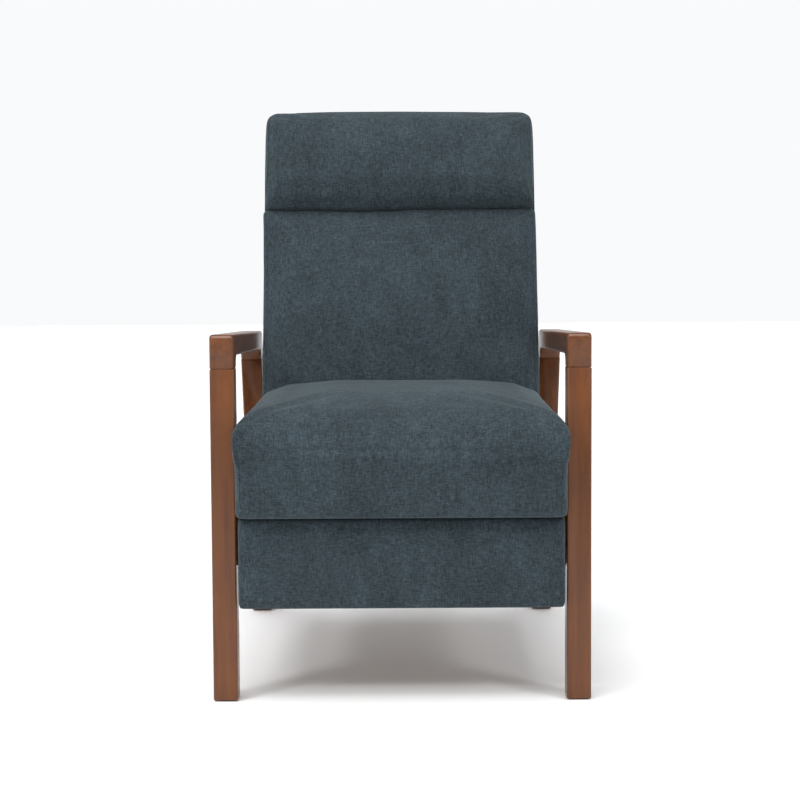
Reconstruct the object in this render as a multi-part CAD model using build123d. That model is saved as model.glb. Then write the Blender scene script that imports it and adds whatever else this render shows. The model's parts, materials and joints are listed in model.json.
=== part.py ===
from build123d import *
from math import atan2, cos, degrees, hypot, radians, sin
import os

# Push-back recliner armchair: an open timber arm frame on each side, an upholstered seat between
# them, a high hinged back and a footrest carried on a folding steel linkage under the seat.
# Millimetres. X runs across the seat, +Y to the rear, +Z up. Depths ("y") are measured from the
# front faces of the front legs while drawing; save() shifts every piece by DATUM so that the
# origin lies on the floor under the middle of the chair.

DATUM = 388.5            # from the front faces of the front legs back to the origin

# timber side frames
WIDTH = 636.0            # over the outer faces of both arms
TIMBER_W = 41.0          # width of the legs and arms
TIMBER_D = 42.0          # depth of the legs
OUT_X = WIDTH / 2
IN_X = OUT_X - TIMBER_W
LEG_X = (OUT_X + IN_X) / 2
JOINT_Z = 561.0          # joint between front leg and arm
ARM_FRONT_Z = 618.5      # top of the arm at its front end
ARM_REAR = (623.1, 603.3)
RAKE = 21.0              # slope of the rear legs from vertical
REAR_JOINT = (600.0, 546.0)
ARM_EDGE_R = 5.0         # soft rounding along the arm
LEG_EDGE_R = 3.0
V_GROOVE = 1.5           # chamfers that meet as a groove at the joints
GLIDE_R, GLIDE_H, GLIDE_PROUD = 11.0, 6.0, 2.0
DOWEL_R, DOWEL_LEN = 5.0, 56.0

# seat box
RAIL_IN_X, RAIL_OUT_X = 252.5, 276.0
RAIL_LOW_Z, RAIL_TOP_Z, RAIL_TAIL_Z = 228.0, 401.0, 322.0
BOLTS_FRONT = ((33.0, 255.0), (33.0, 336.0))
BOLTS_REAR = ((735.0, 252.0), (718.8, 295.0))
BOLT_R, HEAD_R, WASHER_R, INSERT_R = 4.0, 6.5, 7.5, 6.0
CROSS_RAIL_TOP = 395.0
WIRE_R = 1.9             # sinuous spring wire

# back, drawn square and then leaned about its hinge
HINGE = (495.0, 365.0)
LEAN = 16.5
BACK_HALF = 269.5
STILE_IN, STILE_OUT = 222.0, 246.0
FRAME_FRONT, FRAME_REAR = -8.0, 37.0
BACK_LOW, BACK_TOP, CREASE = 45.0, 702.0, 484.0

# footrest linkage pivots as (depth, height) with the footrest folded away
CRANK = (150.0, -130.0)
PIVOT_A = (110.0, 360.0)
PIVOT_B = (225.0, 360.0)
PIVOT_P = (PIVOT_A[0] + CRANK[0], PIVOT_A[1] + CRANK[1])
PIVOT_Q = (PIVOT_B[0] + CRANK[0], PIVOT_B[1] + CRANK[1])
PIVOT_R = (34.0, 292.0)
OFFSET = (26.0, -37.0)
PIVOT_S = (PIVOT_Q[0] + OFFSET[0], PIVOT_Q[1] + OFFSET[1])
PIVOT_T = (PIVOT_R[0] + OFFSET[0], PIVOT_R[1] + OFFSET[1])
PIVOT_J = (246.8, 345.8)
PIVOT_K = (546.6, 315.7)
SLOT_C = (247.9, 343.1)
STEEL = 3.0
PLATE_X = 249.5          # inner face of the mechanism plate
CRANK_X = 246.0          # layer of the cranks and the footrest brackets
LONG_X = 242.5           # layer of the long links and the drive rods
SHORT_X = 239.0          # layer of the lower long links
BRACKET_X = 246.2        # back brackets
PIN_R, RUNNING, OPEN_HOLE = 4.0, 4.05, 4.2
TIGHT = 4.02
HINGE_PIN_R = 5.0

# soft parts
SEAT_HALF, SEAT_LOW, SEAT_CROWN = 275.5, 406.0, 522.0
PANEL_HALF, PANEL_LOW, PANEL_TOP = 272.5, 160.0, 313.0

# pieces are drawn on the right and mirrored for the left
SIDES = (("left", lambda p: mirror(p, about=Plane.YZ)), ("right", lambda p: p))


def save(name, part):
    """Writes one piece, moved from the drawing datum to the chair's origin."""
    export_step(Pos(0, -DATUM, 0) * part, f"parts/{name}.step")


def block(x0, x1, y0, y1, z0, z1):
    return Pos((x0 + x1) / 2, (y0 + y1) / 2, (z0 + z1) / 2) * Box(x1 - x0, y1 - y0, z1 - z0)


def side_plate(outline, x, width):
    """A flat piece with the side outline [(depth, height), ...] from x to x + width."""
    return extrude(Plane.YZ.offset(x) * make_face(Polyline(*outline, close=True)), width)


def across(y, z, radius, x0, x1):
    """A round bar running across the chair."""
    return Pos((x0 + x1) / 2, y, z) * Rot(0, 90, 0) * Cylinder(radius, x1 - x0)


def cone_across(x, y, z, radius, far_radius):
    """A countersink or rivet head through one thickness of steel, from x outwards."""
    low = (Align.CENTER, Align.CENTER, Align.MIN)
    return Pos(x, y, z) * Rot(0, 90, 0) * Cone(radius, far_radius, STEEL, align=low)


def both(part):
    """The left and right copies of a piece as one group."""
    return Compound(children=[part, mirror(part, about=Plane.YZ)])


def group(parts):
    return Compound(children=list(parts))


def strap(path, width):
    """Sketch of a flat bar with rounded ends that follows the pivots in path."""
    sketch = Sketch()
    for (y0, z0), (y1, z1) in zip(path, path[1:]):
        turn = degrees(atan2(z1 - z0, y1 - y0))
        run = Pos((y0 + y1) / 2, (z0 + z1) / 2) * Rot(0, 0, turn)
        sketch += run * SlotCenterToCenter(hypot(y1 - y0, z1 - z0), width)
    return sketch


def link(path, width, holes, x, thick=STEEL):
    """A flat steel link in the layer that starts at x, with (pivot, radius) holes."""
    sketch = strap(path, width)
    for (y, z), radius in holes:
        sketch -= Pos(y, z) * Circle(radius)
    return extrude(Plane.YZ.offset(x) * sketch, thick)


def rivet(pivot, x0, x1, heads=(), shoulder=None):
    """A pivot rivet from x0 to x1; heads are (x0, x1, radius), shoulder is (x0, x1, radius)."""
    pin = across(*pivot, PIN_R, x0, x1)
    for low, high, radius in (*heads, *((shoulder,) if shoulder else ())):
        pin += across(*pivot, radius, low, high)
    return pin


def lean_back(part):
    """Places a piece drawn square to the back frame at the back's hinge and lean."""
    return Pos(0, *HINGE) * Rot(-LEAN, 0, 0) * part


def edges_at(part, axis, value):
    return part.edges().filter_by(lambda e: abs(getattr(e.center(), axis) - value) < 1e-3)


# ---------------------------------------------------------------- timber side frames
def rear_leg_y(z):
    """Depth of the rear leg's front face at height z."""
    return REAR_JOINT[0] + (REAR_JOINT[1] - z) * sin(radians(RAKE)) / cos(radians(RAKE))


REAR_TOP = (REAR_JOINT[0] + TIMBER_D * cos(radians(RAKE)), REAR_JOINT[1] + TIMBER_D * sin(radians(RAKE)))
LEG_LOW = GLIDE_PROUD
REAR_FOOT_D = TIMBER_D / cos(radians(RAKE))
FRONT_FOOT_Y = TIMBER_D / 2
REAR_FOOT_Y = rear_leg_y(LEG_LOW) + REAR_FOOT_D / 2


def dowel_axes():
    """Centre and slope of the dowels of one side frame: two in front, two at the rear."""
    front = [((y, JOINT_Z), 0.0) for y in (13.0, 29.0)]
    rear = []
    for step in (13.0, 29.0):
        y = REAR_JOINT[0] + step * cos(radians(RAKE))
        z = REAR_JOINT[1] + step * sin(radians(RAKE))
        rear.append(((y, z), RAKE))
    return front + rear


def dowels(radius, length):
    return [Pos(LEG_X, y, z) * Rot(slope, 0, 0) * Cylinder(radius, length) for (y, z), slope in dowel_axes()]


def bolt_holes(part, radius, x0, x1):
    for y, z in BOLTS_FRONT + BOLTS_REAR:
        part -= across(y, z, radius, x0, x1)
    return part


def arm():
    outline = [(0, JOINT_Z), (0, ARM_FRONT_Z), ARM_REAR, REAR_TOP, REAR_JOINT, (591.5, 568.0),
               (TIMBER_D, 581.5), (TIMBER_D, JOINT_Z)]
    face = make_face(Polyline(*outline, close=True))
    roundings = (((0, ARM_FRONT_Z), 10), (ARM_REAR, 14), ((591.5, 568.0), 16), ((TIMBER_D, 581.5), 18))
    for corner, radius in roundings:
        nearest = min(face.vertices(), key=lambda v: hypot(v.X - corner[0], v.Y - corner[1]))
        face = fillet(nearest, radius)
    body = extrude(Plane.YZ.offset(IN_X) * face, TIMBER_W)

    def on_joint(edge):
        c = edge.center()
        rear = abs((c.Y - REAR_JOINT[0]) * -sin(radians(RAKE)) + (c.Z - REAR_JOINT[1]) * cos(radians(RAKE)))
        return abs(c.Z - JOINT_Z) < 1e-3 or (rear < 1e-3 and c.Y > REAR_JOINT[0] - 1)

    long_edges = [e for x in (IN_X, OUT_X) for e in edges_at(body, "X", x) if not on_joint(e)]
    body = fillet(long_edges, ARM_EDGE_R)
    body = chamfer([e for e in body.edges() if on_joint(e)], V_GROOVE)
    for peg in dowels(DOWEL_R + 0.05, DOWEL_LEN + 1):
        body -= peg
    return body


def front_leg():
    leg = block(IN_X, OUT_X, 0, TIMBER_D, LEG_LOW, JOINT_Z)
    leg = fillet(leg.edges().filter_by(Axis.Z), LEG_EDGE_R)
    leg = chamfer(leg.faces().sort_by(Axis.Z)[0].edges() + leg.faces().sort_by(Axis.Z)[-1].edges(), V_GROOVE)
    leg -= Pos(LEG_X, FRONT_FOOT_Y, LEG_LOW) * Cylinder(GLIDE_R + 0.1, 2 * (GLIDE_H - GLIDE_PROUD))
    for peg in dowels(DOWEL_R + 0.05, DOWEL_LEN + 1)[:2]:
        leg -= peg
    for y, z in BOLTS_FRONT:
        leg -= across(y, z, INSERT_R + 0.02, IN_X - 1, IN_X + 30)
    return leg


def rear_leg():
    foot = rear_leg_y(LEG_LOW)
    outline = [REAR_JOINT, REAR_TOP, (foot + REAR_FOOT_D, LEG_LOW), (foot, LEG_LOW)]
    leg = side_plate(outline, IN_X, TIMBER_W)
    raked = [e for e in leg.edges() if e.length > 400]
    leg = fillet(raked, LEG_EDGE_R)
    ends = [f for f in leg.faces() if abs(f.normal_at().X) < 0.1 and abs(f.normal_at().Z) > 0.9]
    leg = chamfer([e for f in ends for e in f.edges()], V_GROOVE)
    leg -= Pos(LEG_X, REAR_FOOT_Y, LEG_LOW) * Cylinder(GLIDE_R + 0.1, 2 * (GLIDE_H - GLIDE_PROUD))
    for peg in dowels(DOWEL_R + 0.05, DOWEL_LEN + 1)[2:]:
        leg -= peg
    for y, z in BOLTS_REAR:
        leg -= across(y, z, INSERT_R + 0.02, IN_X - 1, IN_X + 30)
    return leg


def glide(y):
    foot = Cylinder(GLIDE_R, GLIDE_H)
    return Pos(LEG_X, y, GLIDE_H / 2) * chamfer(foot.edges().sort_by(Axis.Z)[0], 1.0)


for side, make in SIDES:
    save(f"arm_{side}", make(arm()))
    save(f"front_leg_{side}", make(front_leg()))
    save(f"rear_leg_{side}", make(rear_leg()))
save("leg_dowels", both(group(dowels(DOWEL_R, DOWEL_LEN))))
save("foot_glides", both(group([glide(FRONT_FOOT_Y), glide(REAR_FOOT_Y)])))

# ---------------------------------------------------------------- seat box
PLATE_SCREWS = ((165.0, 361.0), (290.0, 362.0), (360.0, 363.0), (430.0, 364.0))
WASHER_T, HEAD_T, POCKET = 1.6, 4.4, 9.0
RAIL_OUTLINE = [(24, RAIL_LOW_Z), (24, RAIL_TOP_Z), (470, RAIL_TOP_Z), (505, RAIL_TAIL_Z), (727, RAIL_TAIL_Z),
                (763, RAIL_LOW_Z)]
COVER_TOP = 405.0


def side_rail():
    rail = side_plate(RAIL_OUTLINE, RAIL_IN_X, RAIL_OUT_X - RAIL_IN_X)
    rail = bolt_holes(rail, BOLT_R + 0.5, RAIL_IN_X - 1, RAIL_OUT_X + 1)
    rail = bolt_holes(rail, WASHER_R + 0.5, RAIL_IN_X - 1, RAIL_IN_X + POCKET)
    for y, z in PLATE_SCREWS:
        rail -= across(y, z, 3.0, RAIL_IN_X - 1, RAIL_IN_X + 18)
    return rail


def side_cover():
    raised = [(y, COVER_TOP if z == RAIL_TOP_Z else z) for y, z in RAIL_OUTLINE]
    plate = side_plate(raised, RAIL_OUT_X, IN_X - RAIL_OUT_X)
    return bolt_holes(plate, BOLT_R + 0.5, RAIL_OUT_X - 1, IN_X + 1)


def frame_bolt(y, z):
    seat = RAIL_IN_X + POCKET - WASHER_T
    head = across(y, z, HEAD_R, seat - HEAD_T, seat) - Pos(seat - HEAD_T, y, z) * Rot(0, 90, 0) * extrude(
        RegularPolygon(2.9, 6), amount=2.6, both=True)
    return head + across(y, z, BOLT_R, seat - 0.5, IN_X + 24)


def ring(y, z, outer, inner, x0, x1):
    return across(y, z, outer, x0, x1) - across(y, z, inner, x0 - 1, x1 + 1)


frame_points = BOLTS_FRONT + BOLTS_REAR
for side, make in SIDES:
    save(f"seat_side_rail_{side}", make(side_rail()))
    save(f"side_cover_{side}", make(side_cover()))
save("frame_bolts", both(group(frame_bolt(*p) for p in frame_points)))
save("frame_washers", both(group(
    ring(*p, WASHER_R, BOLT_R + 0.2, RAIL_IN_X + POCKET - WASHER_T, RAIL_IN_X + POCKET)
    for p in frame_points)))
save("threaded_inserts", both(group(
    ring(*p, INSERT_R, BOLT_R + 0.02, IN_X, IN_X + 26) for p in frame_points)))

save("seat_front_rail", block(-RAIL_OUT_X, RAIL_OUT_X, 4, 24, 325, CROSS_RAIL_TOP))
save("seat_rear_rail", block(-PLATE_X, PLATE_X, 424, 444, 345, CROSS_RAIL_TOP))
save("rear_stretcher", block(-RAIL_IN_X, RAIL_IN_X, 668, 690, 240, 305))


def corner_block(x, y, toward):
    """A triangular glue block in the corner at (x, y), running `toward` the chair's middle."""
    leg = 44.0
    plan = Polyline((x, y), (x - leg, y), (x, y + toward * leg), close=True)
    return extrude(Plane.XY.offset(356) * make_face(plan), amount=36)


save("corner_blocks", both(group([corner_block(RAIL_IN_X, 24, 1), corner_block(PLATE_X, 424, -1)])))

SPRING_X = (-190.0, -95.0, 0.0, 95.0, 190.0)
SPRING_Z = 398.6
BEND_R = 9.0


def sinuous_spring(start, end, runs, swing):
    """Zig-zag spring wire in the XY plane from y = start to y = end."""
    lead = 22.0
    pitch = (end - start - 2 * lead) / runs
    path = [(0, start), (0, start + lead)]
    for i in range(runs + 1):
        y = start + lead + i * pitch
        side = swing if i % 2 == 0 else -swing
        if i < runs:
            path += [(side, y), (side, y + pitch)]
    path += [(0, end - lead), (0, end)]
    clean = [p for i, p in enumerate(path) if i == 0 or p != path[i - 1]]
    wire = FilletPolyline(*clean, radius=BEND_R)
    return sweep(Plane(origin=(0, start, 0), z_dir=(0, 1, 0)) * Circle(WIRE_R), path=wire)


seat_wire = sinuous_spring(9, 439, 13, 24)
save("seat_springs", group(Pos(x, 0, SPRING_Z) * seat_wire for x in SPRING_X))


def spring_clip(x, y, z):
    """A folded clip, drawn solid, that holds a spring end down on its rail."""
    return block(x - 8, x + 8, y - 6, y + 6, z - 3.6, z + 3.2) - Pos(x, y, z) * Rot(90, 0, 0) * Cylinder(
        WIRE_R + 0.1, 20)


save("seat_spring_clips", group(spring_clip(x, y, SPRING_Z) for x in SPRING_X for y in (15, 433)))
save("seat_felt", block(-249, 249, 7, 443, 402.5, 405.5))

# ---------------------------------------------------------------- mechanism
PLATE_PINS = ((PIVOT_A, PIN_R), (PIVOT_B, PIN_R), (HINGE, HINGE_PIN_R))


def mechanism_plate():
    plate = link([(100, 360), (495, 365)], 40, [(p, r + 0.02) for p, r in PLATE_PINS], PLATE_X)
    for y, z in PLATE_SCREWS:
        plate -= across(y, z, 3.02, PLATE_X - 1, RAIL_IN_X + 1)
        plate -= cone_across(PLATE_X, y, z, 6.05, 3.02)
    return plate


def countersunk(y, z, x, radius, length):
    """A screw whose flat head is flush at x, pointing outward."""
    head = cone_across(x, y, z, 2 * radius, radius)
    return head + across(y, z, radius, x, x + length)


for side, make in SIDES:
    save(f"mechanism_plate_{side}", make(mechanism_plate()))
save("mechanism_screws", both(group(countersunk(y, z, PLATE_X, 2.95, 20) for y, z in PLATE_SCREWS)))
save("hinge_pins", both(across(*HINGE, HINGE_PIN_R, 243, PLATE_X + STEEL) + across(*HINGE, 10, 243, 246)))
save("crank_pivot_rivets", both(group(
    rivet(p, 243.2, PLATE_X + STEEL, [(243.2, 245.8, 7)]) for p in (PIVOT_A, PIVOT_B))))


def along_crank(pivot, distance):
    scale = distance / hypot(*CRANK)
    return (pivot[0] + CRANK[0] * scale, pivot[1] + CRANK[1] * scale)


OUTER_HEAD = (CRANK_X + STEEL, CRANK_X + STEEL + 2.3, 7.0)
INNER_HEAD = (LONG_X - 2.2, LONG_X - 0.2, 7.0)
LOW_HEAD = (SHORT_X - 2.2, SHORT_X - 0.2, 7.0)
SPACER = (SHORT_X + STEEL + 0.3, CRANK_X, 6.0)

save("front_cranks", both(link([PIVOT_A, PIVOT_P], 22, [(PIVOT_A, RUNNING), (PIVOT_P, TIGHT)], CRANK_X)))
save("rear_cranks", both(link([PIVOT_B, PIVOT_Q, PIVOT_S], 22,
     [(PIVOT_B, RUNNING), (PIVOT_Q, TIGHT), (PIVOT_S, TIGHT), (PIVOT_J, TIGHT)], CRANK_X)))


def cross_tube(centre, radius):
    return ring(*centre, radius, radius - 2, -CRANK_X, CRANK_X)


save("front_cross_tube", cross_tube(along_crank(PIVOT_A, 60), 10))
save("rear_cross_tube", cross_tube(along_crank(PIVOT_B, 90), 9))
save("front_crank_rivets", both(rivet(PIVOT_P, LONG_X, OUTER_HEAD[1], [OUTER_HEAD])))
save("rear_crank_rivets", both(group([
    rivet(PIVOT_Q, INNER_HEAD[0], OUTER_HEAD[1], [OUTER_HEAD, INNER_HEAD]),
    rivet(PIVOT_S, LOW_HEAD[0], OUTER_HEAD[1], [OUTER_HEAD, LOW_HEAD], SPACER),
    rivet(PIVOT_J, 240.9, CRANK_X + STEEL, [(240.9, 242.3, 9)])])))
save("long_links", both(link([PIVOT_R, PIVOT_P, PIVOT_Q], 20,
     [(PIVOT_R, RUNNING), (PIVOT_P, RUNNING), (PIVOT_Q, OPEN_HOLE)], LONG_X)))
save("lower_links", both(link([PIVOT_S, PIVOT_T], 18, [(PIVOT_S, RUNNING), (PIVOT_T, OPEN_HOLE)], SHORT_X)))

# ---------------------------------------------------------------- footrest
BOARD_FRONT, BOARD_REAR = 2.0, 17.0
FLANGE_T = 3.0
SCREW_Z = (246.0, 270.0, 294.0)
SCREW_X = 230.0


def footrest_bracket():
    web = make_face(Polyline((BOARD_REAR, 236), (BOARD_REAR, 304), (PIVOT_R[0], 303), (PIVOT_T[0] + 9, 262),
                             (PIVOT_T[0], 244), close=True))
    for pivot in (PIVOT_R, PIVOT_T):
        web += Pos(*pivot) * Circle(11)
    for pivot in (PIVOT_R, PIVOT_T):
        web -= Pos(*pivot) * Circle(TIGHT)
    bracket = extrude(Plane.YZ.offset(CRANK_X) * web, STEEL)
    bracket += block(216, CRANK_X + STEEL, BOARD_REAR, BOARD_REAR + FLANGE_T, 236, 304)
    for z in SCREW_Z:
        bracket -= Pos(SCREW_X, BOARD_REAR, z) * Rot(90, 0, 0) * Cylinder(2.3, 20)
    return bracket


def footrest_screw(z):
    middle = (6 + BOARD_REAR + FLANGE_T) / 2
    shank = Pos(SCREW_X, middle, z) * Rot(90, 0, 0) * Cylinder(2.2, BOARD_REAR + FLANGE_T - 6)
    head = Pos(SCREW_X, BOARD_REAR + FLANGE_T + 1.2, z) * Rot(90, 0, 0) * Cylinder(4.2, 2.4)
    return shank + head


board = block(-270, 270, BOARD_FRONT, BOARD_REAR, PANEL_LOW + 3, PANEL_TOP - 3)
for z in SCREW_Z:
    for x in (-SCREW_X, SCREW_X):
        board -= Pos(x, BOARD_REAR, z) * Rot(90, 0, 0) * Cylinder(2.3, 24)
save("footrest_board", board)
pad = block(-PANEL_HALF, PANEL_HALF, -28, BOARD_FRONT, PANEL_LOW, PANEL_TOP)
pad = fillet(pad.faces().sort_by(Axis.Y)[0].edges(), 11)
save("footrest_pad", pad)
save("footrest_brackets", both(footrest_bracket()))
save("footrest_screws", both(group(footrest_screw(z) for z in SCREW_Z)))
save("footrest_rivets", both(group([
    rivet(PIVOT_R, INNER_HEAD[0], OUTER_HEAD[1], [OUTER_HEAD, INNER_HEAD]),
    rivet(PIVOT_T, LOW_HEAD[0], OUTER_HEAD[1], [OUTER_HEAD, LOW_HEAD], SPACER)])))

# ---------------------------------------------------------------- drive rods from the back
rod_sketch = strap([SLOT_C, PIVOT_K], 18) + Pos(*SLOT_C) * RectangleRounded(22, 26, 8)
rod_sketch -= Pos(*SLOT_C) * RectangleRounded(10.7, 13.9, 3.9)
rod_sketch -= Pos(*PIVOT_K) * Circle(RUNNING)
save("drive_rods", both(extrude(Plane.YZ.offset(LONG_X) * rod_sketch, STEEL)))
save("drive_rod_rivets", both(rivet(PIVOT_K, 240.7, BRACKET_X + STEEL, [(240.7, 242.3, 7)])))

# ---------------------------------------------------------------- back
BRACKET_BOLTS = ((14.0, 122.0), (14.0, 155.0), (14.0, 188.0))
NUT_R = 5.77


def square_to_back(point):
    """A side-view point in the back's own upright coordinates."""
    dy, dz = point[0] - HINGE[0], point[1] - HINGE[1]
    a = radians(LEAN)
    return (dy * cos(a) - dz * sin(a), dy * sin(a) + dz * cos(a))


def back_bracket():
    knee = square_to_back(PIVOT_K)
    sketch = strap([(0, 0), knee], 24) + strap([(0, 0), (10, 45), (14, 196)], 34) + Circle(22)
    sketch -= Circle(HINGE_PIN_R + 0.05)
    sketch -= Pos(*knee) * Circle(TIGHT)
    bracket = extrude(Plane.YZ.offset(BRACKET_X) * sketch, STEEL)
    for y, z in BRACKET_BOLTS:
        bracket -= across(y, z, 3.02, BRACKET_X - 1, BRACKET_X + STEEL + 1)
        bracket -= cone_across(BRACKET_X, y, z, 3.02, 6.05)
    return bracket


def bracket_bolt(y, z):
    flush = cone_across(BRACKET_X, y, z, 2.95, 5.9)
    return flush + across(y, z, 2.95, 212, BRACKET_X + STEEL)


def nut(y, z):
    hexagon = Pos(STILE_IN - 5, y, z) * Rot(0, 90, 0) * extrude(RegularPolygon(NUT_R, 6), amount=5)
    return hexagon - across(y, z, 3.0, STILE_IN - 6, STILE_IN + 1)


def stile():
    post = fillet(block(STILE_IN, STILE_OUT, FRAME_FRONT, FRAME_REAR, 50, 690).edges().filter_by(Axis.Z), 2)
    for y, z in BRACKET_BOLTS:
        post -= across(y, z, 3.2, STILE_IN - 1, STILE_OUT + 1)
    return post


for side, make in SIDES:
    save(f"back_bracket_{side}", lean_back(make(back_bracket())))
    save(f"back_stile_{side}", lean_back(make(stile())))
save("bracket_bolts", lean_back(both(group(bracket_bolt(*p) for p in BRACKET_BOLTS))))
save("bracket_nuts", lean_back(both(group(nut(*p) for p in BRACKET_BOLTS))))
RAIL_FRONT, RAIL_REAR = 6.0, 28.0
for name, low, high in (("bottom", 50, 110), ("middle", 410, 460), ("top", 630, 690)):
    shift = 6 if name == "middle" else 0
    rail = block(-STILE_IN, STILE_IN, RAIL_FRONT + shift, RAIL_REAR + shift, low, high)
    save(f"back_{name}_rail", lean_back(rail))

BACK_SPRING_X = (-150.0, -50.0, 50.0, 150.0)
SPRING_Y = 2.4
stand_up = Rot(90, 0, 0)
back_wire = stand_up * sinuous_spring(64, 676, 19, 24)
save("back_springs", lean_back(group(Pos(x, SPRING_Y, 0) * back_wire for x in BACK_SPRING_X)))


def back_clip(x, z):
    clip = block(x - 8, x + 8, -1, RAIL_FRONT, z - 6, z + 6)
    return clip - Pos(x, SPRING_Y, z) * Cylinder(WIRE_R + 0.1, 20)


save("back_spring_clips", lean_back(group(back_clip(x, z) for x in BACK_SPRING_X for z in (70, 670))))


def border():
    """Padded border round the frame: an inverted U with softly rounded upper corners."""
    y0, y1 = FRAME_FRONT, 45.0
    outer = block(-BACK_HALF, BACK_HALF, y0, y1, BACK_LOW, BACK_TOP)
    top = [e for e in outer.edges().filter_by(Axis.Y) if e.center().Z > BACK_TOP - 1]
    outer = fillet(top, 30)
    outer = fillet(outer.faces().sort_by(Axis.Y)[-1].edges(), 4)
    outer -= block(-STILE_OUT - 0.3, STILE_OUT + 0.3, y0 - 1, y1 + 1, BACK_LOW - 1, 690.3)
    return outer - block(-PLATE_X - 0.1, PLATE_X + 0.1, y0 - 1, y1 + 1, BACK_LOW - 1, 215)


save("back_border", lean_back(border()))
save("outer_back_panel", lean_back(block(-STILE_OUT, STILE_OUT, FRAME_REAR + 0.3, 41, 48, 690)))

# ---------------------------------------------------------------- cushions
SOFT_R = 12.0


def soft_outline(points):
    return make_face(FilletPolyline(*points, radius=SOFT_R, close=True))


def mirrored(points):
    """A symmetrical closed outline from its right-hand half, given from the bottom up."""
    return points + [(-x, y) for x, y in reversed(points)]


def cushion(side, section, plane):
    """A side outline run across the chair, trimmed by a section looked at along the plane's normal.

    The section runs past the flat face the cushion rests on, so only the soft faces are trimmed.
    """
    body = extrude(Plane.YZ * soft_outline(side), amount=300, both=True)
    return body & extrude(plane * soft_outline(mirrored(section)), amount=1200, both=True)


seat = cushion(
    [(-66, SEAT_LOW), (-77, 438), (-70, 474), (-36, 500), (60, 517), (250, SEAT_CROWN), (472, 518),
     (447, 424), (447, SEAT_LOW)],
    [(SEAT_HALF, SEAT_LOW - 30), (SEAT_HALF, 462), (262, 493), (215, 511), (90, SEAT_CROWN)],
    Plane((0, 0, 0), x_dir=(1, 0, 0), z_dir=(0, -1, 0)))
save("seat_cushion", seat)
apron = cushion(
    [(3.5, 315), (-50, 315), (-63, 332), (-66, SEAT_LOW - 0.4), (3.5, SEAT_LOW - 0.4)],
    [(275, 30), (275, -44), (258, -60), (215, -66)],
    Plane.XY)
save("seat_front_pad", apron)
lower = cushion(
    [(-8.3, BACK_LOW), (-44, BACK_LOW), (-60, 72), (-62, 260), (-58, 452), (-40, CREASE - 0.3),
     (-8.3, CREASE - 0.3)],
    [(BACK_HALF, 20), (BACK_HALF, -36), (254, -55), (205, -62)],
    Plane.XY)
save("back_cushion", lean_back(lower))
head = cushion(
    [(-8.3, CREASE + 0.3), (-44, CREASE + 0.3), (-66, 500), (-84, 540), (-87, 610), (-75, 670),
     (-46, 699), (-8.3, BACK_TOP)],
    [(266, 20), (266, -52), (250, -76), (195, -87)],
    Plane.XY)
front_view = Plane.XZ * Pos(0, 400) * RectangleRounded(532, 2 * (BACK_TOP - 400), 30)
head = head & extrude(front_view, amount=300, both=True)
save("headrest_cushion", lean_back(head))
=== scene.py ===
import json
from math import cos, exp, pi, radians, sin

import bmesh
import bpy
from mathutils import Matrix, Vector, noise
from mathutils.bvhtree import BVHTree


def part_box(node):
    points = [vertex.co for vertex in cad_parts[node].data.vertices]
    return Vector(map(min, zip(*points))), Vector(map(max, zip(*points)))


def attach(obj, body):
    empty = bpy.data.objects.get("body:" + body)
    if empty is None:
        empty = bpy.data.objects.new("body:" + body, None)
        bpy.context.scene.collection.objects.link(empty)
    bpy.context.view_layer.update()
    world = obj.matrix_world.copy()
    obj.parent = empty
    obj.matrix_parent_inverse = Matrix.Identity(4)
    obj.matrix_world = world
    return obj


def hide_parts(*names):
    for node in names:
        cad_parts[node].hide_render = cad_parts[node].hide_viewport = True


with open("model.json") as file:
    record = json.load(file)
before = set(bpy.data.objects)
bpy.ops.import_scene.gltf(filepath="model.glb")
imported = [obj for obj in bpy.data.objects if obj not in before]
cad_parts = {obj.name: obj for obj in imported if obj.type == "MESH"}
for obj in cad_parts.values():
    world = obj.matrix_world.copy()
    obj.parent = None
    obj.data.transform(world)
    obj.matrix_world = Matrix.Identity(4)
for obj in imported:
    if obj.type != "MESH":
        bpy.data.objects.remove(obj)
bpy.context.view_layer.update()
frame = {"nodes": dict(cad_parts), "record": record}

bl_info = {
    "name": "Recliner armchair",
    "version": (1, 0, 0),
    "blender": (4, 5, 0),
    "location": "3D View > Sidebar > Armchair",
    "description": "Upholstery, timber and metal finishes round a recliner armchair's frame",
    "category": "Object",
}

MM = 0.001
HINGE = Vector(next(j["pos_m"] for j in frame["record"]["behaviour"]["joints"] if j["name"] == "recline"))
LEAN = radians(16.5)             # the back leans this far from upright at rest
RAKE = radians(21.0)             # slope of the rear legs
BACK_PLACE = Matrix.Translation(HINGE) @ Matrix.Rotation(-LEAN, 4, "X")
SIDES = ("left", "right")


class ArmchairSettings(bpy.types.PropertyGroup):
    """Sizes and colours that change the chair's finish"""

    yarn: bpy.props.StringProperty(
        name="Yarn", description="Main yarn of the cover, sRGB hex", default="#303a3f")
    yarn_dark: bpy.props.StringProperty(
        name="Dark yarn", description="Shadow between the pile, sRGB hex", default="#1d2428")
    yarn_light: bpy.props.StringProperty(
        name="Light yarn", description="Pale flecks of the cover, sRGB hex", default="#435057")
    stain: bpy.props.StringProperty(
        name="Stain", description="Timber stain, sRGB hex", default="#6f3d13")
    stain_dark: bpy.props.StringProperty(
        name="Dark grain", description="Late wood under the stain, sRGB hex", default="#4c260b")
    voxel: bpy.props.FloatProperty(
        name="Cover mesh", description="Point spacing of the covers", default=6 * MM, unit="LENGTH")
    pressure: bpy.props.FloatProperty(
        name="Stuffing", description="Pressure of the stuffing on its cover", default=4.0)
    welt: bpy.props.FloatProperty(
        name="Welt", description="Radius of the sewn ridge along a seam", default=1.5 * MM, unit="LENGTH")


def chosen():
    return bpy.context.scene.armchair


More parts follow.
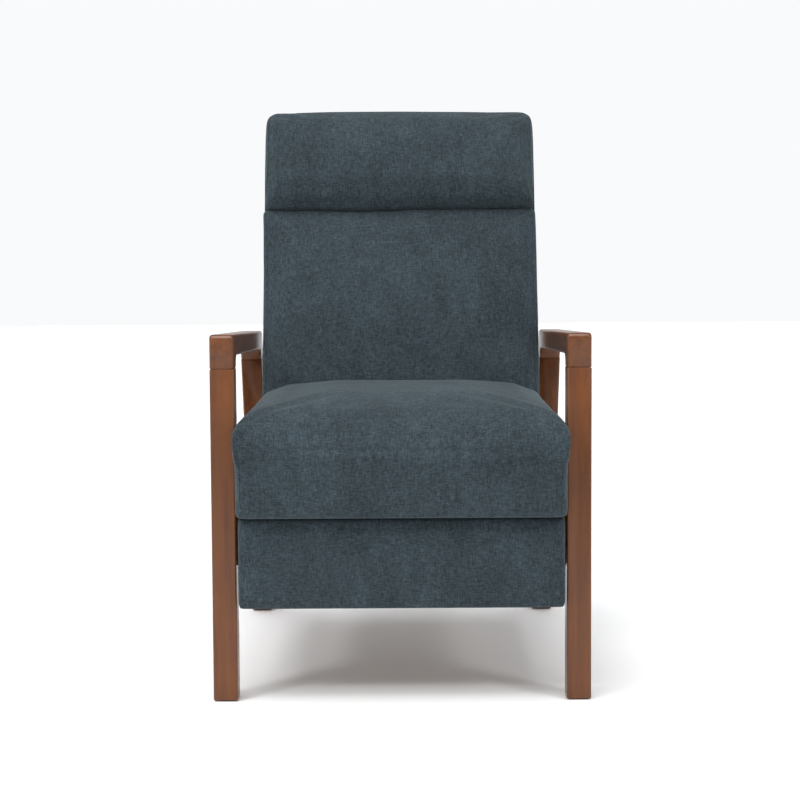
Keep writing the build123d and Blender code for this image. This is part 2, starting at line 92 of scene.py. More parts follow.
# ------------------------------------------------------------------ small helpers
def deselect():
    if bpy.context.object and bpy.context.object.mode != "OBJECT":
        bpy.ops.object.mode_set(mode="OBJECT")
    bpy.ops.object.select_all(action="DESELECT")


def activate(piece):
    deselect()
    piece.select_set(True)
    bpy.context.view_layer.objects.active = piece


def edit(piece, choose=None, kind="FACE"):
    """Opens a piece in edit mode with all of it selected, or only what choose(element) accepts."""
    activate(piece)
    bpy.ops.object.mode_set(mode="EDIT")
    bpy.ops.mesh.select_mode(type=kind)
    bpy.ops.mesh.select_all(action="SELECT" if choose is None else "DESELECT")
    if choose is not None:
        mesh = bmesh.from_edit_mesh(piece.data)
        for element in {"FACE": mesh.faces, "EDGE": mesh.edges, "VERT": mesh.verts}[kind]:
            if choose(element):
                element.select_set(True)
        mesh.select_flush_mode()
        bmesh.update_edit_mesh(piece.data)


def done():
    bpy.ops.object.mode_set(mode="OBJECT")


def apply_place(piece):
    activate(piece)
    bpy.ops.object.transform_apply(location=True, rotation=True, scale=True)


def apply_modifiers(piece):
    activate(piece)
    for modifier in list(piece.modifiers):
        bpy.ops.object.modifier_apply(modifier=modifier.name)


def add_modifier(piece, kind, **values):
    modifier = piece.modifiers.new(kind.title(), kind)
    for key, value in values.items():
        setattr(modifier, key, value)
    return modifier


def block(name, low, high):
    """A cube from one corner to the other, with its place already in its mesh."""
    deselect()
    low, high = Vector(low), Vector(high)
    bpy.ops.mesh.primitive_cube_add(size=1, location=(low + high) / 2)
    piece = bpy.context.object
    piece.name = name
    piece.scale = high - low
    apply_place(piece)
    return piece


def copied(name, *nodes):
    """One new piece from the meshes of CAD nodes, with their loose triangles merged."""
    parts = []
    for node in nodes:
        part = bpy.data.objects.new(name, frame["nodes"][node].data.copy())
        bpy.context.scene.collection.objects.link(part)
        parts.append(part)
    joined(name, parts)
    edit(parts[0])
    bpy.ops.mesh.remove_doubles(threshold=0.01 * MM)
    bpy.ops.mesh.normals_make_consistent(inside=False)
    done()
    return parts[0]


def joined(name, parts):
    deselect()
    for part in parts:
        part.select_set(True)
    bpy.context.view_layer.objects.active = parts[0]
    if len(parts) > 1:
        bpy.ops.object.join()
    parts[0].name = name
    return parts[0]


def smooth(piece, angle=35):
    activate(piece)
    bpy.ops.object.shade_smooth_by_angle(angle=radians(angle))


def finish(piece, body, material, *nodes, slot="upholstery"):
    """Gives a piece its material and its body, and hides the CAD nodes that it stands for."""
    piece.data.materials.clear()
    piece.data.materials.append(material)
    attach(piece, body)
    if nodes:
        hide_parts(*nodes)
    return piece


def bump_curve(distance, width):
    return exp(-(distance / width) ** 2)


# ------------------------------------------------------------------ materials
def linear(colour):
    """An sRGB hex colour as linear red, green, blue and alpha."""
    values = [int(colour[i:i + 2], 16) / 255 for i in (1, 3, 5)]
    return [v / 12.92 if v <= 0.04045 else ((v + 0.055) / 1.055) ** 2.4 for v in values] + [1.0]


def add_node(tree, kind, inputs=None, **settings):
    """One node with its settings; an input is a value, or the socket that feeds it."""
    node = tree.nodes.new("ShaderNode" + kind)
    for key, value in settings.items():
        setattr(node, key, value)
    for key, value in (inputs or {}).items():
        if isinstance(value, bpy.types.NodeSocket):
            tree.links.new(value, node.inputs[key])
        else:
            node.inputs[key].default_value = value
    return node


def new_material(name):
    material = bpy.data.materials.new(name)
    material.use_nodes = True
    tree = material.node_tree
    return material, tree, tree.nodes["Principled BSDF"]


def set_shader(shader, **values):
    for key, value in values.items():
        shader.inputs[key.replace("_", " ")].default_value = value


def ramp(tree, factor, stops):
    node = add_node(tree, "ValToRGB", {"Fac": factor})
    elements = node.color_ramp.elements
    while len(elements) < len(stops):
        elements.new(0.5)
    for element, (position, colour) in zip(elements, stops):
        element.position = position
        element.color = colour
    return node.outputs["Color"]


def streaks(tree, place, stretch, per_metre, detail=2.0, turn=(0, 0, 0)):
    """Noise on the piece's own coordinates, drawn out along the axes whose stretch is small."""
    mapping = add_node(tree, "Mapping", {"Vector": place, "Scale": stretch, "Rotation": turn})
    return add_node(tree, "TexNoise", {"Vector": mapping.outputs["Vector"], "Scale": per_metre,
                                       "Detail": detail, "Roughness": 0.6}).outputs["Fac"]


def chenille_weave():
    """Woven chenille: soft short pile in heathered yarns, matt, paler where it turns away from the eye."""
    material, tree, shader = new_material("woven_chenille")
    s = chosen()
    place = add_node(tree, "TexCoord").outputs["Object"]
    # yarns of about 2 mm, drawn at 3 mm so that they show; slubs run 12 to 20 mm along the yarn
    weft = streaks(tree, place, (0.20, 1.0, 1.0), 520)
    warp = streaks(tree, place, (1.0, 0.22, 0.22), 470)
    pile = streaks(tree, place, (1.0, 1.0, 1.0), 620, 1.0)
    nap = streaks(tree, place, (0.8, 1.0, 0.6), 11, 4.0)
    brushed = streaks(tree, place, (1.0, 0.3, 0.3), 45, 3.0)
    yarns = add_node(tree, "Math", {0: weft, 1: warp}, operation="ADD")
    mixed = add_node(tree, "Math", {0: pile, 1: 0.45, 2: yarns.outputs[0]}, operation="MULTIPLY_ADD")
    worn = add_node(tree, "Math", {0: nap, 1: 0.55, 2: mixed.outputs[0]}, operation="MULTIPLY_ADD")
    tone = add_node(tree, "Math", {0: brushed, 1: 0.30, 2: worn.outputs[0]}, operation="MULTIPLY_ADD")
    spread = add_node(tree, "MapRange", {"Value": tone.outputs[0], "From Min": 1.28, "From Max": 2.06})
    colour = ramp(tree, spread.outputs["Result"], [
        (0.0, linear(s.yarn_dark)), (0.5, linear(s.yarn)), (1.0, linear(s.yarn_light))])
    tree.links.new(colour, shader.inputs["Base Color"])
    relief = add_node(tree, "Bump", {"Height": mixed.outputs[0], "Distance": 1.1 * MM, "Strength": 0.55})
    folds = add_node(tree, "Bump", {"Height": nap, "Distance": 5 * MM, "Strength": 0.25,
                                    "Normal": relief.outputs["Normal"]})
    tree.links.new(folds.outputs["Normal"], shader.inputs["Normal"])
    set_shader(shader, Roughness=0.92, Specular_IOR_Level=0.25, Sheen_Weight=0.42, Sheen_Roughness=0.35,
               Sheen_Tint=linear("#98a7ac"))
    return material


def stained_beech(name, stretch, turn=(0, 0, 0)):
    """Beech with a walnut stain and satin lacquer: faint straight grain, small dark flecks, soft gloss."""
    material, tree, shader = new_material(name)
    s = chosen()
    place = add_node(tree, "TexCoord").outputs["Object"]
    # growth bands about 14 mm wide, flecks about 1.5 mm wide and 25 mm long, drawn along the grain
    bands = streaks(tree, place, stretch, 70, 3.0, turn)
    flecks = streaks(tree, place, tuple(min(1.0, v * 1.6) for v in stretch), 620, 2.0, turn)
    cloud = streaks(tree, place, (1, 1, 1), 9, 2.0)
    mixed = add_node(tree, "Math", {0: flecks, 1: 0.35, 2: bands}, operation="MULTIPLY_ADD")
    tone = add_node(tree, "Math", {0: cloud, 1: 0.5, 2: mixed.outputs[0]}, operation="MULTIPLY_ADD")
    spread = add_node(tree, "MapRange", {"Value": tone.outputs[0], "From Min": 0.62, "From Max": 1.22})
    colour = ramp(tree, spread.outputs["Result"], [(0.0, linear(s.stain_dark)), (1.0, linear(s.stain))])
    tree.links.new(colour, shader.inputs["Base Color"])
    gloss = add_node(tree, "MapRange", {"Value": flecks, "From Min": 0.3, "From Max": 0.7,
                                        "To Min": 0.36, "To Max": 0.48})
    tree.links.new(gloss.outputs["Result"], shader.inputs["Roughness"])
    relief = add_node(tree, "Bump", {"Height": flecks, "Distance": 0.15 * MM, "Strength": 0.4})
    tree.links.new(relief.outputs["Normal"], shader.inputs["Normal"])
    set_shader(shader, Coat_Weight=0.35, Coat_Roughness=0.14, Specular_IOR_Level=0.3)
    return material


def speckled(name, colours, per_metre, roughness, metallic=0.0, depth=0.1, stretch=(1, 1, 1)):
    """A finish whose colour, gloss and surface all follow one fine speckle."""
    material, tree, shader = new_material(name)
    place = add_node(tree, "TexCoord").outputs["Object"]
    grain = streaks(tree, place, stretch, per_metre, 3.0)
    colour = ramp(tree, grain, [(0.3, linear(colours[0])), (0.7, linear(colours[1]))])
    tree.links.new(colour, shader.inputs["Base Color"])
    gloss = add_node(tree, "MapRange", {"Value": grain, "From Min": 0.3, "From Max": 0.7,
                                        "To Min": roughness - 0.06, "To Max": roughness + 0.08})
    tree.links.new(gloss.outputs["Result"], shader.inputs["Roughness"])
    relief = add_node(tree, "Bump", {"Height": grain, "Distance": depth * MM, "Strength": 0.5})
    tree.links.new(relief.outputs["Normal"], shader.inputs["Normal"])
    set_shader(shader, Metallic=metallic)
    return material


MATERIALS = {}


def material(name):
    """Materials are made once, when first asked for."""
    if name not in MATERIALS:
        MATERIALS[name] = {
            "chenille": chenille_weave,
            # grain runs along the arm, up the front leg and along the raked rear leg
            "arm_beech": lambda: stained_beech("stained_beech_along", (1, 0.05, 1)),
            "leg_beech": lambda: stained_beech("stained_beech_up", (1, 1, 0.05)),
            "raked_beech": lambda: stained_beech("stained_beech_raked", (1, 1, 0.05), (-RAKE, 0, 0)),
            # sawn beech and birch plywood: pale, dry, with fine fibres across the chair
            "raw_beech": lambda: speckled(
                "sawn_beech", ("#b58a5c", "#cfa777"), 260, 0.72, depth=0.3, stretch=(0.06, 1, 1)),
            # powder coat: black with a fine orange peel of about 2 mm
            "powder_coat": lambda: speckled(
                "black_powder_coat", ("#17181a", "#222326"), 500, 0.48, depth=0.12),
            # zinc plate: pale metal with a faint crystal speckle
            "zinc": lambda: speckled("zinc_plated_steel", ("#a7aaad", "#c4c6c8"), 700, 0.36, 1.0, 0.03),
            "brass": lambda: speckled("turned_brass", ("#a98446", "#c7a25e"), 600, 0.32, 1.0, 0.03),
            "nylon": lambda: speckled("moulded_nylon", ("#181614", "#23201d"), 500, 0.55),
            # needled felt: tangled grey-brown fibres, dead matt
            "felt": lambda: speckled("needled_felt", ("#4a4640", "#6d675e"), 380, 0.9, depth=0.8),
        }[name]()
    return MATERIALS[name]


# ------------------------------------------------------------------ stuffed pieces
def wrinkle(point, seed, size=0.11):
    return noise.noise(point / size + Vector((seed, 0.3 * seed, 0)))


def cover_mesh(piece, rounding):
    """Even, fine cover mesh with its hard edges eased."""
    piece.data.remesh_voxel_size = chosen().voxel
    activate(piece)
    bpy.ops.object.voxel_remesh()
    add_modifier(piece, "SMOOTH", factor=0.5, iterations=rounding)
    apply_modifiers(piece)


def stuff(piece, held, cap):
    """Fills a cover with the cloth simulation.

    held(point) is how firmly a point is fixed, and cap the furthest that it may move.
    """
    rest = [v.co.copy() for v in piece.data.vertices]
    grip = [held(p) for p in rest]
    activate(piece)
    group = piece.vertex_groups.new(name="held")
    for i, weight in enumerate(grip):
        group.add([i], min(1.0, max(0.0, weight)), "REPLACE")
    cloth = add_modifier(piece, "CLOTH")
    c = cloth.settings
    c.quality = 4
    c.mass = 0.3
    c.tension_stiffness = c.compression_stiffness = 12
    c.shear_stiffness = 5
    c.bending_stiffness = 0.6
    c.use_pressure = True
    c.uniform_pressure_force = chosen().pressure
    c.vertex_group_mass = "held"
    c.pin_stiffness = 1
    c.effector_weights.gravity = 0
    scene = bpy.context.scene
    cloth.point_cache.frame_start, cloth.point_cache.frame_end = 1, 20
    for step in range(1, 21):
        scene.frame_set(step)
    bpy.ops.object.modifier_apply(modifier=cloth.name)
    scene.frame_set(1)
    piece.vertex_groups.clear()
    moves = [v.co - start for v, start in zip(piece.data.vertices, rest)]
    for vertex, start, move in zip(piece.data.vertices, rest, moves):
        vertex.co = start + move * min(1.0, cap / max(move.length, 1e-9))


def shape_points(piece, change):
    """Moves every point by change(point, normal)."""
    mesh = piece.data
    moves = [change(v.co.copy(), v.normal.copy()) for v in mesh.vertices]
    for vertex, move in zip(mesh.vertices, moves):
        vertex.co += move
    mesh.update()


def ease_to(piece, pattern, share, free=lambda p: True):
    """Draws a stuffed cover part of the way back to the shape it was cut for."""
    tree = surface_of(pattern)
    shape_points(piece, lambda p, n: (tree.find_nearest(p)[0] - p) * share if free(p) else Vector())


def round_top(point, middle, corners, start=0.19):
    """How far the top of the back drops at a point, in the middle and further at its corners, past start."""
    corner = min(1.0, max(0.0, (abs(point.x) - start) / (0.27 - start)))
    height = min(1.0, max(0.0, (point.z - 0.56) / 0.14))
    return Vector((0, 0, -(middle + corners * corner * corner) * height))


def refine(piece):
    add_modifier(piece, "SUBSURF", levels=1, render_levels=1)
    apply_modifiers(piece)
    smooth(piece, 80)


def surface_of(piece):
    mesh = piece.data
    return BVHTree.FromPolygons([v.co for v in mesh.vertices], [p.vertices for p in mesh.polygons])


def welt(name, piece, path, steps=8, closed=False):
    """A thin sewn ridge that follows the surface of a piece along a path of points."""
    tree = surface_of(piece)
    loop = path + [path[0]] if closed else path
    points = []
    for a, b in zip(loop, loop[1:]):
        for i in range(steps):
            place = tree.find_nearest(Vector(a).lerp(Vector(b), i / steps))[0]
            points.append(place)
    if not closed:
        place = tree.find_nearest(Vector(loop[-1]))[0]
        points.append(place)
    deselect()
    bpy.ops.curve.primitive_nurbs_path_add()
    line = bpy.context.object
    line.name = name
    curve = line.data
    curve.splines.clear()
    spline = curve.splines.new("NURBS")
    spline.points.add(len(points) - 1)
    for target, place in zip(spline.points, points):
        target.co = (*place, 1)
    spline.use_cyclic_u = closed
    spline.use_endpoint_u = not closed
    spline.order_u = 3
    curve.resolution_u = 3
    curve.bevel_depth = chosen().welt
    curve.bevel_resolution = 1
    curve.use_fill_caps = True
    activate(line)
    bpy.ops.object.convert(target="MESH")
    line = bpy.context.object
    smooth(line, 80)
    return line


def mirrored(points):
    return [Vector((-p[0], p[1], p[2])) for p in points]


class ARMCHAIR_OT_timber(bpy.types.Operator):
    """Arms and legs in stained beech with eased edges"""

    bl_idname = "armchair.timber"
    bl_label = "Timber frame"

    def execute(self, context):
        for part, finish_name in (
                ("arm", "arm_beech"), ("front_leg", "leg_beech"), ("rear_leg", "raked_beech")):
            for side in SIDES:
                node = f"{part}_{side}"
                piece = copied(f"{node}_timber", node)
                smooth(piece, 40)
                finish(piece, "chair", material(finish_name), node, slot="walnut")
        return {"FINISHED"}


class ARMCHAIR_OT_hardware(bpy.types.Operator):
    """Finishes for the hidden frame, springs and steel mechanism"""

    bl_idname = "armchair.hardware"
    bl_label = "Hardware finishes"

    def execute(self, context):
        finishes = {"frame_timber": "raw_beech", "nylon": "nylon", "brass": "brass", "felt": "felt",
                    "mechanism_steel": "powder_coat", "zinc_steel": "zinc", "walnut": "leg_beech",
                    "upholstery": "chenille"}
        for part in frame["record"]["subparts"]:
            mesh = frame["nodes"][part["node"]].data
            mesh.materials.clear()
            mesh.materials.append(material(finishes[part["material_slot"]]))
        return {"FINISHED"}


class ARMCHAIR_OT_seat(bpy.types.Operator):
    """Crowned seat cushion whose cover falls over the front of the seat box"""

    bl_idname = "armchair.seat"
    bl_label = "Seat cushion"

    def execute(self, context):
        low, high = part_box("seat_cushion")
        apron_low, apron_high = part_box("seat_front_pad")
        half = high[0] - 1.5 * MM
        front = apron_low[1]
        slab = copied("seat_slab", "seat_cushion")
        seat_low = low[2]
        lifted = seat_low + 24 * MM

        def flatten(point, normal):
            drop = 0.16 * max(0.0, point.z - lifted)
            return Vector((0, 0, -drop))
        shape_points(slab, flatten)
        apron = copied("seat_apron", "seat_front_pad")
        bridge = block("seat_bridge", (-half + 4 * MM, front + 1 * MM, apron_low[2] + 30 * MM),
                       (half - 4 * MM, apron_high[1] - 3 * MM, seat_low + 40 * MM))
        edit(bridge, lambda e: abs(e.verts[0].co.z - e.verts[1].co.z) > 10 * MM and min(
            v.co.y for v in e.verts) < front + 2 * MM, "EDGE")
        bpy.ops.mesh.bevel(offset=10 * MM, segments=4, affect="EDGES")
        done()
        piece = joined("seat_cushion_cover", [slab, apron, bridge])
        cover_mesh(piece, 14)
        edge = half - 7 * MM

        def held(p):
            side = max(0.0, (abs(p.x) - edge) / (5 * MM))
            rear = 1.0 if p.y > high[1] - 26 * MM - 0.25 * max(0.0, high[2] - p.z) else 0.0
            under = 1.0 if p.z < seat_low + 5 * MM and p.y > apron_high[1] - 8 * MM else 0.0
            behind = p.y > apron_high[1] - 10 * MM and p.z < seat_low
            hem = 1.0 if p.z < apron_low[2] + 5 * MM or behind else 0.0
            return max(min(1.0, side), rear, under, hem)
        stuff(piece, held, 24 * MM)
        pattern = copied("seat_pattern", "seat_cushion")
        ease_to(piece, pattern, 0.65, lambda p: p.z > seat_low + 20 * MM)
        bpy.data.objects.remove(pattern)

        def settle(p, n):
            """Soft hollows in the crown and the front, wherever the cover is not held."""
            soft = wrinkle(p, 3.1, 0.16) * 1.6 * MM + wrinkle(p, 8.4, 0.05) * 0.5 * MM
            return n * soft * (0 if held(p) > 0.9 else 1)
        refine(piece)
        shape_points(piece, settle)
        seam = [(half - 2 * MM, front + 2 * MM, apron_low[2] + 8 * MM), (half - 2 * MM, front - 3 * MM, 0.38),
                (half - 2 * MM, front - 8 * MM, 0.425), (half - 3 * MM, front, 0.452),
                (half - 5 * MM, front + 22 * MM, 0.468), (half - 6 * MM, front + 60 * MM, 0.474),
                (half - 6 * MM, 0.0, 0.476), (half - 6 * MM, high[1] - 20 * MM, 0.474)]
        finish(piece, "chair", material("chenille"), "seat_cushion", "seat_front_pad")
        for side, path in (("right", seam), ("left", mirrored(seam))):
            finish(welt(f"seat_welt_{side}", piece, path), "chair", material("chenille"))
        return {"FINISHED"}


class ARMCHAIR_OT_back(bpy.types.Operator):
    """Back cushion and headrest roll with a sewn tuck between them"""

    bl_idname = "armchair.back"
    bl_label = "Back and headrest"

    def execute(self, context):
        upright = BACK_PLACE.inverted()
        for name, node, cap, seed in (("back_cushion_cover", "back_cushion", 22 * MM, 1.7),
                                      ("headrest_cover", "headrest_cushion", 22 * MM, 6.2)):
            piece = copied(name, node)
            piece.data.transform(upright)
            low = Vector([min(v.co[i] for v in piece.data.vertices) for i in range(3)])
            high = Vector([max(v.co[i] for v in piece.data.vertices) for i in range(3)])
            rear = high.y
            is_head = name.startswith("head")

            def slim(p, n, rear=rear, low=low):
                return Vector((0, 0.16 * (rear - p.y) if p.y < rear - 20 * MM else 0, 0))
            shape_points(piece, slim)
            cover_mesh(piece, 10)
            edge = high.x - 7 * MM
            crease = low.z if is_head else high.z

            def held(p, rear=rear, edge=edge, low=low, high=high, is_head=is_head, crease=crease):
                side = min(1.0, max(0.0, (abs(p.x) - edge) / (6 * MM))) * 0.9
                back = 1.0 if p.y > rear - 7 * MM else 0.0
                end = 1.0 if abs(p.z - crease) < 5 * MM else 0.0
                foot = 1.0 if not is_head and p.z < low.z + 5 * MM else 0.0
                return max(side, back, end, foot)
            stuff(piece, held, cap)
            pattern = copied(f"{node}_pattern", node)
            pattern.data.transform(upright)
            ease_to(piece, pattern, 0.55, lambda p: p.y < rear - 12 * MM)
            bpy.data.objects.remove(pattern)
            if is_head:
                shape_points(piece, lambda p, n: round_top(p, 7 * MM, 8 * MM))
            refine(piece)

            def settle(p, n, rear=rear, crease=crease, seed=seed, held=held):
                """Low hollows in the stuffing, and a tuck that wanders a little along its length."""
                near = bump_curve(p.z - crease, 30 * MM)
                rise = 2.0 + 4.0 * (p.x / 0.27) ** 2
                wander = (rise + sin(p.x * 11 + 0.6) * 1.4 + sin(p.x * 29) * 0.8) * MM * near
                gathered = bump_curve(p.z - crease, 22 * MM)
                pucker = wrinkle(Vector((p.x, 0, 0)), seed, 0.035) * 1.2 * MM * gathered
                soft = (wrinkle(p, seed, 0.17) * 2.0 + wrinkle(p, seed + 4, 0.06) * 0.6) * MM
                free = 1.0 if p.y < rear - 12 * MM else 0.0
                return n * (soft + pucker) * free + Vector((0, 0, wander))
            shape_points(piece, settle)
            x = high.x - 3 * MM
            if is_head:
                seam = [(x, -0.030, low.z + 4 * MM), (x, -0.052, low.z + 40 * MM),
                        (x, -0.062, low.z + 110 * MM),
                        (x, -0.058, high.z - 50 * MM), (x - 4 * MM, -0.048, high.z - 22 * MM),
                        (x - 24 * MM, -0.040, high.z - 3 * MM), (x - 60 * MM, -0.040, high.z)]
                loops = [seam + mirrored(seam)[::-1]]
            else:
                seam = [(x, -0.040, low.z + 8 * MM), (x, -0.046, low.z + 120 * MM),
                        (x, -0.046, high.z - 40 * MM),
                        (x, -0.036, high.z - 3 * MM)]
                loops = [seam, mirrored(seam)]
            welts = [welt(f"{node}_welt_{i}", piece, path) for i, path in enumerate(loops)]
            for part in [piece, *welts]:
                part.data.transform(BACK_PLACE)
                finish(part, "backrest", material("chenille"), *([node] if part is piece else []))
        return {"FINISHED"}


class ARMCHAIR_OT_back_cover(bpy.types.Operator):
    """Boxed border round the back and the flat cover behind it"""

    bl_idname = "armchair.back_cover"
    bl_label = "Back border and rear cover"

    def execute(self, context):
        upright = BACK_PLACE.inverted()
        piece = copied("back_border_cover", "back_border")
        piece.data.transform(upright)
        cover_mesh(piece, 4)

        # the drop stays outside the stiles, whose ends come up to just under the border
        shape_points(piece, lambda p, n: round_top(p, 0, 12 * MM, 0.248))
        refine(piece)
        shape_points(piece, lambda p, n: n * (wrinkle(p, 2.2, 0.08) * 0.7 * MM))
        x, top, low = 0.2685, 0.701, 0.052
        corner = 30 * MM
        arc = [(x - corner + corner * cos(a), 0, top - corner + corner * sin(a))
               for a in (0, pi / 8, pi / 4, 3 * pi / 8, pi / 2)]
        side = [(x, 0, low), (x, 0, 0.25), (x, 0, 0.45)] + arc
        welts = []
        for y, label in ((-0.006, "front"), (0.043, "rear")):
            right = [Vector((p[0], y, p[2])) for p in side]
            welts.append(welt(f"back_border_welt_{label}", piece, right + mirrored(right)[::-1]))
        for part in [piece, *welts]:
            part.data.transform(BACK_PLACE)
            finish(part, "backrest", material("chenille"), *(["back_border"] if part is piece else []))

        deselect()
        bpy.ops.mesh.primitive_grid_add(x_subdivisions=60, y_subdivisions=78, size=1)
        panel = bpy.context.object
        panel.name = "rear_cover"
        panel.scale = (0.491, 0.641, 1)
        panel.rotation_euler = (radians(90), 0, 0)
        panel.location = (0, 0.0412, 0.369)
        apply_place(panel)

        def taut(p, n):
            inset = min(0.2455 - abs(p.x), p.z - 0.0485, 0.6895 - p.z)
            swell = min(1.0, max(0.0, inset / 0.03)) * 1.6 * MM
            return Vector((0, swell + wrinkle(p, 5.0, 0.12) * 0.6 * MM, 0))
        shape_points(panel, taut)
        add_modifier(panel, "SOLIDIFY", thickness=2.4 * MM, offset=0)
        apply_modifiers(panel)
        edit(panel)
        bpy.ops.mesh.normals_make_consistent(inside=False)
        done()
        smooth(panel, 60)
        panel.data.transform(BACK_PLACE)
        finish(panel, "backrest", material("chenille"), "outer_back_panel")
        return {"FINISHED"}


class ARMCHAIR_OT_footrest(bpy.types.Operator):
    """Padded front of the footrest panel"""

    bl_idname = "armchair.footrest"
    bl_label = "Footrest pad"

    def execute(self, context):
        low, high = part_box("footrest_pad")
        piece = copied("footrest_cover", "footrest_pad")
        shape_points(piece, lambda p, n: Vector((0, 4 * MM if p.y < low[1] + 12 * MM else 0, 0)))
        cover_mesh(piece, 5)

        def held(p):
            back = 1.0 if p.y > high[1] - 6 * MM else 0.0
            rim = min(p.z - low[2], high[2] - p.z, high[0] - abs(p.x))
            return max(back, min(0.9, max(0.0, (12 * MM - rim) / (12 * MM))))
        stuff(piece, held, 7 * MM)
        refine(piece)
        shape_points(piece, lambda p, n: n * (
            wrinkle(p, 9.0, 0.13) * 0.9 * MM if p.y < high[1] - 8 * MM else 0))
        finish(piece, "footrest", material("chenille"), "footrest_pad")
        x = high[0] - 2 * MM
        seam = [(x, high[1] - 8 * MM, low[2] + 3 * MM), (x, high[1] - 8 * MM, high[2] - 3 * MM)]
        ring = seam + mirrored(seam)[::-1]
        finish(welt("footrest_welt", piece, ring, steps=24, closed=True), "footrest", material("chenille"))
        return {"FINISHED"}


class ARMCHAIR_OT_side_covers(bpy.types.Operator):
    """Fabric stretched over the outer faces of the seat box, and the felt over the springs"""

    bl_idname = "armchair.side_covers"
    bl_label = "Side covers and felt"

    def execute(self, context):
        for side in SIDES:
            node = f"side_cover_{side}"
            piece = copied(f"{node}_fabric", node)
            edit(piece)
            bpy.ops.mesh.dissolve_limited(angle_limit=radians(1))
            done()
            edit(piece, lambda e: abs(e.verts[0].co.x - e.verts[1].co.x) < 0.1 * MM
                 and e.calc_length() > 60 * MM, "EDGE")
            bpy.ops.mesh.bevel(offset=0.4 * MM, segments=2, affect="EDGES")
            done()
            smooth(piece, 40)
            finish(piece, "chair", material("chenille"), node)
            low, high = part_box(node)
            outer = high[0] if side == "right" else low[0]
            hem_z = low[2] + 5 * MM
            hem = [(outer, y, hem_z) for y in (low[1] + 20 * MM, 0.1, high[1] - 12 * MM)]
            finish(welt(f"{node}_hem", piece, hem, steps=12), "chair", material("chenille"))
        low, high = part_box("seat_felt")
        deselect()
        bpy.ops.mesh.primitive_grid_add(x_subdivisions=70, y_subdivisions=62, size=1)
        felt = bpy.context.object
        felt.name = "spring_felt"
        felt.scale = (high[0] - low[0], high[1] - low[1], 1)
        felt.location = (0, (low[1] + high[1]) / 2, (low[2] + high[2]) / 2)
        apply_place(felt)
        shape_points(felt, lambda p, n: Vector((0, 0, wrinkle(p, 7.0, 0.02) * 0.4 * MM)))
        add_modifier(felt, "SOLIDIFY", thickness=2 * MM, offset=0)
        apply_modifiers(felt)
        smooth(felt, 60)
        finish(felt, "chair", material("felt"), "seat_felt", slot="felt")
        return {"FINISHED"}


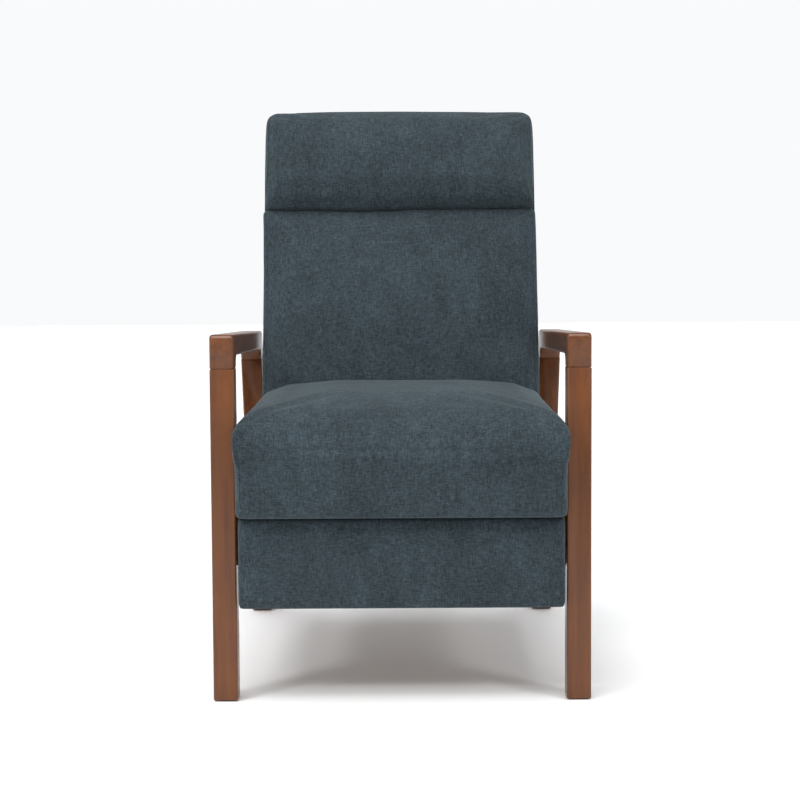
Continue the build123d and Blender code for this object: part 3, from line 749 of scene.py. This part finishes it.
class ARMCHAIR_OT_stage(bpy.types.Operator):
    """Pale floor, soft studio light and the camera"""

    bl_idname = "armchair.stage"
    bl_label = "Stage"

    def execute(self, context):
        deselect()
        bpy.ops.mesh.primitive_plane_add(size=40)
        floor = bpy.context.object
        floor.name = "floor"
        edit(floor)
        bpy.ops.mesh.subdivide(number_cuts=4)
        done()
        paint, tree, shader = new_material("matt_floor_paint")
        place = add_node(tree, "TexCoord").outputs["Object"]
        tone = streaks(tree, place, (1, 1, 1), 0.5)
        white = ramp(tree, tone, [(0.3, linear("#f6f6f6")), (0.7, linear("#fafafa"))])
        tree.links.new(white, shader.inputs["Base Color"])
        set_shader(shader, Roughness=0.85, Specular_IOR_Level=0.1)
        floor.data.materials.append(paint)
        world = bpy.data.worlds.new("studio")
        context.scene.world = world
        world.use_nodes = True
        sky = world.node_tree.nodes["Background"]
        direction = add_node(world.node_tree, "TexCoord").outputs["Generated"]
        height = add_node(world.node_tree, "SeparateXYZ", {"Vector": direction}).outputs["Z"]
        # a white band round the horizon, and a softer grey overhead
        pale = ramp(world.node_tree, height, [(0.16, linear("#f9fafb")), (0.4, linear("#adb0b3"))])
        world.node_tree.links.new(pale, sky.inputs["Color"])
        for name, place, size, power, aim in (
                ("key_softbox", (-2.0, -2.4, 2.5), 0.6, 30, (0, -0.1, 0.6)),
                ("fill_softbox", (2.1, -2.3, 2.4), 0.6, 22, (0, -0.1, 0.5))):
            deselect()
            bpy.ops.object.light_add(type="AREA", location=place)
            lamp = context.object
            lamp.name = name
            lamp.data.shape = "SQUARE"
            lamp.data.size = size
            lamp.data.energy = power
            lamp.rotation_euler = (Vector(aim) - Vector(place)).to_track_quat("-Z", "Y").to_euler()
        deselect()
        bpy.ops.object.light_add(type="SUN", location=(0, -2, 4))
        daylight = context.object
        daylight.name = "even_top_light"
        daylight.data.energy = 2.5
        daylight.data.angle = radians(40)
        daylight.rotation_euler = Vector((0.2, 0.5, -2.0)).to_track_quat("-Z", "Y").to_euler()
        deselect()
        pitch, roll = radians(90 - 4.2), radians(0.33)
        bpy.ops.object.camera_add(location=(0, -3.3825, 0.728), rotation=(pitch, roll, 0))
        camera = context.object
        camera.data.sensor_width = 36
        camera.data.lens = 81.2
        context.scene.camera = camera
        context.scene.view_settings.view_transform = "Standard"
        return {"FINISHED"}


class ARMCHAIR_PT_panel(bpy.types.Panel):
    """Every step of the chair, in the order they run"""

    bl_idname = "ARMCHAIR_PT_panel"
    bl_label = "Recliner armchair"
    bl_space_type = "VIEW_3D"
    bl_region_type = "UI"
    bl_category = "Armchair"

    def draw(self, context):
        for step in STEPS:
            self.layout.operator(step.bl_idname)


STEPS = (ARMCHAIR_OT_hardware, ARMCHAIR_OT_timber, ARMCHAIR_OT_seat, ARMCHAIR_OT_back, ARMCHAIR_OT_back_cover,
         ARMCHAIR_OT_footrest, ARMCHAIR_OT_side_covers, ARMCHAIR_OT_stage)
CLASSES = (ArmchairSettings, *STEPS, ARMCHAIR_PT_panel)


def register():
    for item in CLASSES:
        bpy.utils.register_class(item)
    bpy.types.Scene.armchair = bpy.props.PointerProperty(type=ArmchairSettings)


def unregister():
    del bpy.types.Scene.armchair
    for item in reversed(CLASSES):
        bpy.utils.unregister_class(item)


def main():
    register()
    for step in STEPS:
        group, action = step.bl_idname.split(".")
        getattr(getattr(bpy.ops, group), action)()


if __name__ == "__main__":
    main()
